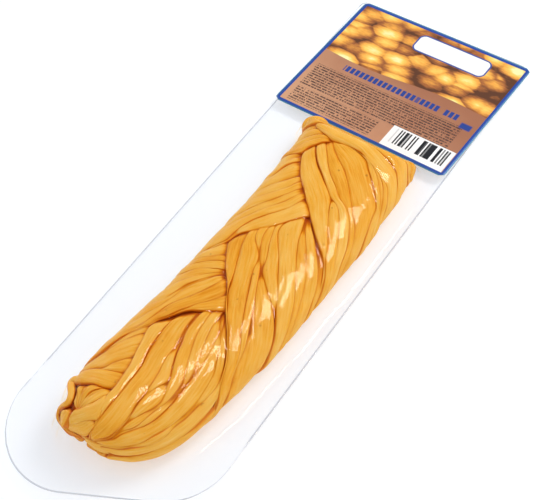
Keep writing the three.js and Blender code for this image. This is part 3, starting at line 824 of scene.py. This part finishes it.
# How deep each point lies in a crease: measured from a skin stretched over the ribbons round it. The curd's finish
# paints shade in the creases by this depth.
OUT = 5.0  # how far outside the ribbons the measuring starts
SKIN_CELLS = 5
heights = np.full((ROWS, ROUND), -CORE_DEPTH)
for i in range(ROWS):
    for k in range(ROUND):
        normal = Vector(FORM_NORMALS[i, k])
        hit = ribbon_hits.ray_cast(Vector(FORM_POINTS[i, k]) + normal * OUT, -normal, OUT + CORE_DEPTH)
        if hit[0] is not None:
            heights[i, k] = OUT - hit[3]
skin = widest(widest(heights, SKIN_CELLS), SKIN_CELLS, lowest=True)
form_hits = BVHTree.FromPolygons(FORM_POINTS.reshape(-1, 3).tolist(), quads_of(numbers_of(ROWS, ROUND + 1)))
for piece in [*strands, core]:
    depths = np.zeros(len(piece.data.vertices), np.float32)
    for n, point in enumerate(points_of(piece.data) / MM):
        point = Vector(point)
        spot, normal, face, _ = form_hits.find_nearest(point)
        i, k = divmod(face, ROUND)
        depths[n] = max(0.0, skin[i, k] - (point - spot).dot(Vector(FORM_NORMALS[i, k])))
    give(piece.data, "crease", depths)

for piece in [*strands, core]:
    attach(piece, "root")
    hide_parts("sealed_pack")


# ==== the clear pack ===========================================================================
# Two clear films, shrunk onto the cheese under vacuum and welded to each other all round it. The
# upper one bridges the creases and comes down steeply to the flat border; the edge is cut clean.

PACK_HALF = 42.5
PACK_FAR = 132.1
CORNER = 27.5  # radius of both corners at the slanted near end
CORNER_REACH = PACK_HALF - CORNER
LEFT_CORNER_Y = -105.65
END_SLANT = math.radians(27.3)
FAR_CORNER = 3.0
BORDER_LOW, BORDER_HIGH = 3.0, 3.5
FILM_GAP = 0.06
BRIDGE = 0.9  # radius of the hollow that the film makes over a crease
STEEPEST = math.tan(math.radians(66))
SLOPE_STEPS = 26  # how many cells the film's slope can spread outwards
CELL = 0.5
CHEESE_SPAN = ((-30, 38), (-116, 65))  # across and along: cells outside it are only border
LOOK_FROM = {-1: 45.0, 1: -8.0}  # level that the ribbons are looked at from, downwards and upwards
LOOK_REACH = 60

# The levels of both films, over an area a little larger than the pack.
grid_x = np.arange(-44, 44.01, CELL)
grid_y = np.arange(-135, 134.01, CELL)


def near_outline(x):
    right_y = LEFT_CORNER_Y + 2 * CORNER_REACH * math.tan(END_SLANT)
    touch = CORNER * math.sin(END_SLANT)
    line = LEFT_CORNER_Y - CORNER * math.cos(END_SLANT) + (x + CORNER_REACH - touch) * math.tan(END_SLANT)
    left, right = (y - np.sqrt(np.maximum(CORNER**2 - (x + way * CORNER_REACH) ** 2, 0))
                   for way, y in ((1, LEFT_CORNER_Y), (-1, right_y)))
    return np.where(x < touch - CORNER_REACH, left, np.where(x > touch + CORNER_REACH, right, line))


def far_outline(x):
    past = np.maximum(np.abs(x) - (PACK_HALF - FAR_CORNER), 0)
    return PACK_FAR - FAR_CORNER + np.sqrt(np.maximum(FAR_CORNER**2 - past**2, 0))


def cast(way):
    """Level of the first ribbon met from above (-1) or from below (1), at each cell."""
    found = np.full((len(grid_y), len(grid_x)), np.nan)
    rows, columns = (np.flatnonzero((low < grid) & (grid < high)).tolist()
                     for grid, (low, high) in zip((grid_y, grid_x), CHEESE_SPAN[::-1]))
    for i, j in ((i, j) for i in rows for j in columns):
        hit = ribbon_hits.ray_cast(Vector((grid_x[j], grid_y[i], LOOK_FROM[way])), Vector((0, 0, way)), LOOK_REACH)
        if hit[0] is not None:
            found[i, j] = hit[0].z
    return found


def stretched(grid, radius):
    """The grid's peaks joined by hollows of that radius, as a tight film would."""
    reach = int(radius / CELL * 2.5) + 1
    for sign in (1, -1):
        for axis in (0, 1):
            best = sign * grid
            for step in range(-reach, reach + 1):
                moved = np.roll(sign * grid, step, axis=axis) - (step * CELL) ** 2 / (2 * radius)
                best = np.maximum(best, moved)
            grid = sign * best
    return grid


over = cast(-1)
top_level = np.where(np.isnan(over), BORDER_HIGH, np.maximum(np.nan_to_num(over) + FILM_GAP, BORDER_HIGH))
for _ in range(SLOPE_STEPS):
    for dy in (-1, 0, 1):
        for dx in (-1, 0, 1):
            if dx or dy:
                drop = CELL * math.hypot(dx, dy) * STEEPEST
                top_level = np.maximum(top_level, np.roll(top_level, (dy, dx), (0, 1)) - drop)
top_level = stretched(top_level, BRIDGE)
under = cast(1)
low_level = np.where(np.isnan(under), BORDER_LOW, np.minimum(np.nan_to_num(under) - FILM_GAP, BORDER_LOW))
low_level = np.maximum(-stretched(-low_level, BRIDGE), 0.0)


def level_at(grid, x, y):
    j = np.clip((x - grid_x[0]) / CELL, 0, len(grid_x) - 1.001)
    i = np.clip((y - grid_y[0]) / CELL, 0, len(grid_y) - 1.001)
    a, b = (i % 1), (j % 1)
    i, j = i.astype(int), j.astype(int)
    return ((grid[i, j] * (1 - b) + grid[i, j + 1] * b) * (1 - a)
            + (grid[i + 1, j] * (1 - b) + grid[i + 1, j + 1] * b) * a)


def two_sheets(name, top, low):
    """A thin closed piece: an upper and a lower sheet of points, joined all round their rim."""
    grid = numbers_of(*top.shape[:2])
    quads = quads_of(grid)
    rim = np.concatenate([grid[0], grid[1:, -1], grid[-1, -2::-1], grid[-2:0:-1, 0]]).tolist()
    faces = quads + [[grid.size + c for c in quad[::-1]] for quad in quads]
    faces += [(a, grid.size + a, grid.size + b, b) for a, b in zip(rim, rim[1:] + rim[:1])]
    return piece_from(name, mesh_from(name, np.vstack([top.reshape(-1, 3), low.reshape(-1, 3)]), faces)), rim


# Columns and rows of the film's points, closer together where it is bent and at the cut edge.
film_x = np.concatenate([-PACK_HALF + np.array([0, 0.08, 0.3, 0.8, 1.8, 4, 7, 10.5, 14]), np.arange(-27.5, 37, 0.5),
                         [37.6, 39, 40.7, 41.7, 42.2, 42.42, 42.5]])
rows_y = np.concatenate([[0, 0.0006, 0.002, 0.006, 0.015, 0.03, 0.045], np.linspace(0.055, 0.735, 300),
                         np.linspace(0.74, 0.985, 30), [0.993, 0.998, 0.9994, 1]])
near_y, far_y = near_outline(film_x), far_outline(film_x)
sheet_y = near_y + (far_y - near_y) * rows_y[:, None]
sheet_x = np.tile(film_x, (len(rows_y), 1))
sheets = [np.stack([sheet_x, sheet_y, level_at(level, sheet_x, sheet_y)], axis=2) for level in (top_level, low_level)]
film, rim = two_sheets("clear_film", *sheets)

# How far each point lies in from the pack's edge; the lower sheet counts as far in.
flat = sheets[0].reshape(-1, 3) * (1, 1, 0)
edge_tree = KDTree(len(rim))
for n, k in enumerate(rim):
    edge_tree.insert(flat[k], n)
edge_tree.balance()
FAR_IN = 9.0
inset = [edge_tree.find(point)[2] for point in flat]
give(film.data, "inset", inset + [FAR_IN] * len(inset))


def film_finish():
    """Clear film: a gloss over what is under it, and a pale grey line at the cut edge."""
    finish = bpy.data.materials.new("clear_film")
    net = net_of(finish)
    ripple = net.noise(net.value("ShaderNodeTexCoord", out="Object"), 180.0, 3.0)
    bump = net.node("ShaderNodeBump", Strength=0.3, Distance=0.0006, Height=ripple)
    gloss = net.node("ShaderNodeBsdfGlossy", Color=(1, 0.80, 0.46, 1), Roughness=0.09, Normal=bump.outputs[0])
    edge = net.node("ShaderNodeBsdfTransparent", Color=(0.64, 0.65, 0.68, 1))
    clear = net.node("ShaderNodeBsdfTransparent", Color=(0.995, 0.997, 1.0, 1))
    facing = net.value("ShaderNodeLayerWeight", out="Facing", Blend=0.5, Normal=bump.outputs[0])
    mirrors = 0.018 + facing ** 5.0 * 0.5
    cut = 1.0 - net.stored("inset").ramp(0.4, 0.8)
    body = net.node("ShaderNodeMixShader", _0=cut, _1=clear.outputs[0], _2=edge.outputs[0])
    whole = net.node("ShaderNodeMixShader", _0=mirrors, _1=body.outputs[0], _2=gloss.outputs[0])
    net.node("ShaderNodeOutputMaterial", Surface=whole.outputs[0])
    return finish


film.data.materials.append(film_finish())
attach(film, "root")
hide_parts("sealed_pack")


# ==== the label ================================================================================
# A coated paper label stuck over the far end of the pack, its near edge a little raised by the
# end of the cheese. Printed with plain fields of colour inside a blue border.

LABEL_SIZE = (85.2, 71.1)
LABEL_MIDDLE = (0.45, 95.75, 4.15)
LABEL_TURN = math.radians(-0.3)
LABEL_LEAN = 0.04  # how far its sides lean over for each millimetre along
LABEL_THICK = 0.28
LABEL_CORNER = 2.2
LABEL_LIFT = 0.25
LABEL_WAVE, LABEL_SUNK = 0.12, 0.1
LABEL_COLUMNS, LABEL_ROWS = 70, 64
ROW_CROWDING = 0.06

rise = np.linspace(-1, 1, LABEL_ROWS)
label_y = LABEL_SIZE[1] / 2 * (rise - ROW_CROWDING * np.sin(rise * np.pi))
past = np.maximum(np.abs(label_y) - (LABEL_SIZE[1] / 2 - LABEL_CORNER), 0)
reach = LABEL_SIZE[0] / 2 - LABEL_CORNER + np.sqrt(np.maximum(LABEL_CORNER**2 - past**2, 0))
print_x = reach[:, None] * np.linspace(-1, 1, LABEL_COLUMNS)
print_y = np.tile(label_y[:, None], (1, LABEL_COLUMNS))
aside = (print_x - middle(np.float64(CHEESE_FAR))) / HALF_WIDTH
back = (print_y + LABEL_SIZE[1] / 2) / HALF_WIDTH
lift = LABEL_LIFT * np.exp(-(aside**4) - np.maximum(0, back) ** 2)
lift = lift + LABEL_WAVE * np.sin(print_x / 11 + 1) * np.sin(print_y / 14) - LABEL_SUNK
turn_x = print_x * math.cos(LABEL_TURN) - print_y * math.sin(LABEL_TURN) + print_y * LABEL_LEAN
turn_y = print_x * math.sin(LABEL_TURN) + print_y * math.cos(LABEL_TURN)
sheets = [np.stack([LABEL_MIDDLE[0] + turn_x, LABEL_MIDDLE[1] + turn_y,
                    LABEL_MIDDLE[2] + lift + half * LABEL_THICK / 2], axis=2) for half in (1, -1)]
label, _ = two_sheets("printed_label", *sheets)
printed = np.stack([print_x, print_y, np.zeros_like(print_x)], axis=2).reshape(-1, 3)
give(label.data, "print", np.vstack([printed, printed + (0, 0, -1)]))


DASH_ROWS = 1 / 1.36  # rows of dashes, bars and stripes for each millimetre
BAR_ROW = 0.42
STRIPE_ROW = 1.55
BLUE, WHITE, BLACK = (0.015, 0.052, 0.31), (0.96, 0.96, 0.96), (0.012, 0.012, 0.014)


def label_finish():
    """Coated paper: golden pebbles over brown at the far side, a copper field with plain rows."""
    finish = bpy.data.materials.new("coated_paper")
    net = net_of(finish)
    mixed = net.mixed
    at = net.stored("print", "Vector")
    x, y, under = part(net, at, "X"), part(net, at, "Y"), part(net, at, "Z")

    def within(value, middle, half, soft=0.12):
        return 1.0 - (value - middle).math("ABSOLUTE").ramp(half - soft, half + soft)

    def box(centre, half, soft=0.12):
        return within(x, centre[0], half[0], soft) * within(y, centre[1], half[1], soft)

    def round_box(past_x, past_y):
        """Distance from a box, with how far a point is past its sides and past its ends."""
        return (past_x.math("MAXIMUM", 0.0) ** 2.0 + past_y.math("MAXIMUM", 0.0) ** 2.0).math("SQRT")

    def noise(across, along, scale):
        return net.noise(at * joined(net, across, along, 1.0), scale)

    # far field: rounded pebbles of gold and cream with brown between them
    turned = net.value("ShaderNodeMapping", Vector=at + joined(net, noise(1, 1, 0.12) * 5.0, 0.0, 0.0),
                       Rotation=(0, 0, 0.5), Scale=(0.085, 0.15, 1.0))
    cell = net.node("ShaderNodeTexVoronoi", {"feature": "SMOOTH_F1"}, Vector=turned, Scale=1.0, Smoothness=0.15)
    away = Value(net, cell.outputs["Distance"])
    shade = net.value("ShaderNodeSeparateColor", _0=cell.outputs["Color"])
    tone = 1.02 - away * 1.25 + (shade - 0.5) * 0.45 + (noise(0.7, 2.2, 0.5) - 0.5) * 0.35
    pebbles = net.value("ShaderNodeValToRGB", {"stops": [
        (0.0, (0.13, 0.04, 0.01)), (0.22, (0.46, 0.145, 0.026)), (0.45, (0.95, 0.42, 0.052)),
        (0.68, (1.0, 0.68, 0.13)), (0.9, (1.0, 0.93, 0.44))]}, Fac=tone)
    # near field: copper, paler towards one corner
    pale = (y * -0.012 + x * -0.006 + (noise(1, 1, 0.05) - 0.5) * 0.5 + 0.2).ramp(0.0, 0.9)
    copper = mixed(pale, (0.40, 0.152, 0.072), (0.68, 0.355, 0.195))
    # plain rows of dashes, fine and dark
    row = y * DASH_ROWS + 0.5
    dash = net.value("ShaderNodeTexNoise", {"noise_dimensions": "2D"}, Scale=1.0, Detail=2.0,
                     Vector=joined(net, x * 1.9, row.math("FLOOR") * 5.7, 0.0))
    block = (box((-1.5, -15.5), (37, 7.2)) + box((-17, -28), (21, 4.6))).math("MINIMUM", 1.0)
    rows = within(row.math("FRACT"), 0.5, 0.28) * dash.ramp(0.38, 0.5) * block
    copper = mixed(rows * 0.9, copper, (0.045, 0.022, 0.02))
    # a row of plain blue bars, and one bar beside it
    bar = net.bands((x * BAR_ROW).math("FLOOR") * 3.7)
    bars = within((x * BAR_ROW).math("FRACT"), 0.5, 0.36, 0.08) * within(y, -4.6, 1.7, 0.15) * within(x, 2, 29)
    copper = mixed(bars * bar.ramp(0.2, 0.3), copper, BLUE)
    copper = mixed(box((36, -7.5), (2.6, 1.6), 0.4), copper, BLUE)
    edge = y - 1.2 - (x * 0.075).math("SINE") * 1.4
    colour = mixed(edge.ramp(-0.15, 0.15), copper, pebbles)
    # a bare white plaque with a blue edge
    away = round_box((x - 9).math("ABSOLUTE") - 15, (y - 25.5).math("ABSOLUTE") - 2.2)
    colour = mixed(1.0 - away.ramp(3.1, 3.4), colour, (0.025, 0.08, 0.38))
    colour = mixed(1.0 - away.ramp(2.4, 2.7), colour, WHITE)
    # a white panel of plain stripes in the near corner
    stripe = net.bands((x * STRIPE_ROW).math("FLOOR") * 2.31)
    colour = mixed(box((25.5, -28), (15, 6.2)), colour, WHITE)
    colour = mixed(box((25.5, -26.8), (13.2, 4.2)) * stripe.ramp(0.48, 0.52), colour, BLACK)
    # border: a thin light line outside a blue one
    rim = round_box(*(way.math("ABSOLUTE") - (size / 2 - LABEL_CORNER) for way, size in zip((x, y), LABEL_SIZE)))
    colour = mixed(rim.ramp(0.3, 0.5), colour, (0.003, 0.06, 0.37))
    colour = mixed(rim.ramp(1.75, 1.9), colour, (0.04, 0.28, 0.42))
    colour = mixed((-under).ramp(0.2, 0.6), colour, (0.82, 0.82, 0.80))  # the bare back
    grain = net.noise(at, 2.5)
    bump = net.node("ShaderNodeBump", Strength=0.08, Distance=0.0002, Height=grain)
    shader = net.node("ShaderNodeBsdfPrincipled", Base_Color=colour, Roughness=0.42 + (grain - 0.5) * 0.12,
                      Normal=bump.outputs[0])
    net.node("ShaderNodeOutputMaterial", Surface=shader.outputs[0])
    return finish


label.data.materials.append(label_finish())
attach(label, "root")
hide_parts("label")


# ==== floor, light and camera ==================================================================
# A white table top in a bright even studio. Two soft boxes light the surfaces; the other lamps are
# seen only as the bright streaks that they leave on the film.

FLOOR_HALF = 1500
corners = [(x * FLOOR_HALF, y * FLOOR_HALF, 0) for x, y in ((-1, -1), (1, -1), (1, 1), (-1, 1))]
floor = piece_from("floor", mesh_from("floor", corners, [(0, 1, 2, 3)], smooth=False))
paint = bpy.data.materials.new("white_table")
net = net_of(paint)
white = net.mixed(net.noise(net.value("ShaderNodeTexCoord", out="Object"), 40.0), (0.60, 0.635, 0.69),
                  (0.62, 0.655, 0.71))
shader = net.node("ShaderNodeBsdfPrincipled", Base_Color=white, Roughness=0.7, Emission_Color=(1, 1, 1, 1),
                  Emission_Strength=0.385)
net.node("ShaderNodeOutputMaterial", Surface=shader.outputs[0])
floor.data.materials.append(paint)

scene = bpy.context.scene
scene.world = bpy.data.worlds.new("studio")
net = net_of(scene.world)
WORLD_LIGHT = 0.79
GLOSS_LIGHT = 0.02  # how bright the room is where the film mirrors what is above it
upwards = part(net, net.value("ShaderNodeTexCoord", out="Generated"), "Z").ramp(0.35, 0.7)
mirrored = net.value("ShaderNodeLightPath", out="Is Glossy Ray") * upwards
glow = net.node("ShaderNodeBackground", Color=(0.97, 0.98, 1.0, 1),
                Strength=WORLD_LIGHT - mirrored * (WORLD_LIGHT - GLOSS_LIGHT))
net.node("ShaderNodeOutputWorld", Surface=glow.outputs[0])

LIT, SHONE = (1.0, 0.985, 0.95), (0.66, 0.78, 1.0)  # colours of lamps that light, or only shine
LAMPS = [  # name, place in metres, size, power, and whether it lights the surfaces
    ("soft_box", (0.283, 0.567, 0.708), 0.30, 3.3, True),
    ("side_box", (-0.806, 0.0, 0.503), 0.40, 0.4, True),
    ("shine_right", (0.565, 0.315, 0.695), 0.40, 13.7, False),
    ("shine_left", (-0.806, 0.0, 0.503), 0.3, 5.1, False),
    ("shine_over", (0.045, -0.025, 0.33), 0.09, 0.7, False),
]
for name, spot, size, power, lights in LAMPS:
    lamp = bpy.data.lights.new(name, "AREA")
    lamp.shape = "SQUARE"
    lamp.size = size
    lamp.energy = power
    lamp.color = LIT if lights else SHONE
    lamp_at = bpy.data.objects.new(name, lamp)
    lamp_at.visible_diffuse, lamp_at.visible_glossy = lights, not lights
    scene.collection.objects.link(lamp_at)
    lamp_at.matrix_world = Matrix.Translation(spot) @ Vector(spot).to_track_quat("Z", "Y").to_matrix().to_4x4()

lens = bpy.data.cameras.new("camera")
lens.lens = LENS
lens.sensor_width = SENSOR
camera = bpy.data.objects.new("camera", lens)
scene.collection.objects.link(camera)
camera.matrix_world = Matrix([[CAMERA_RIGHT[k], CAMERA_UP[k], CAMERA_BACK[k], CAMERA_AT[k] * MM] for k in range(3)]
                             + [[0, 0, 0, 1]])
scene.camera = camera
scene.view_settings.view_transform = "Standard"
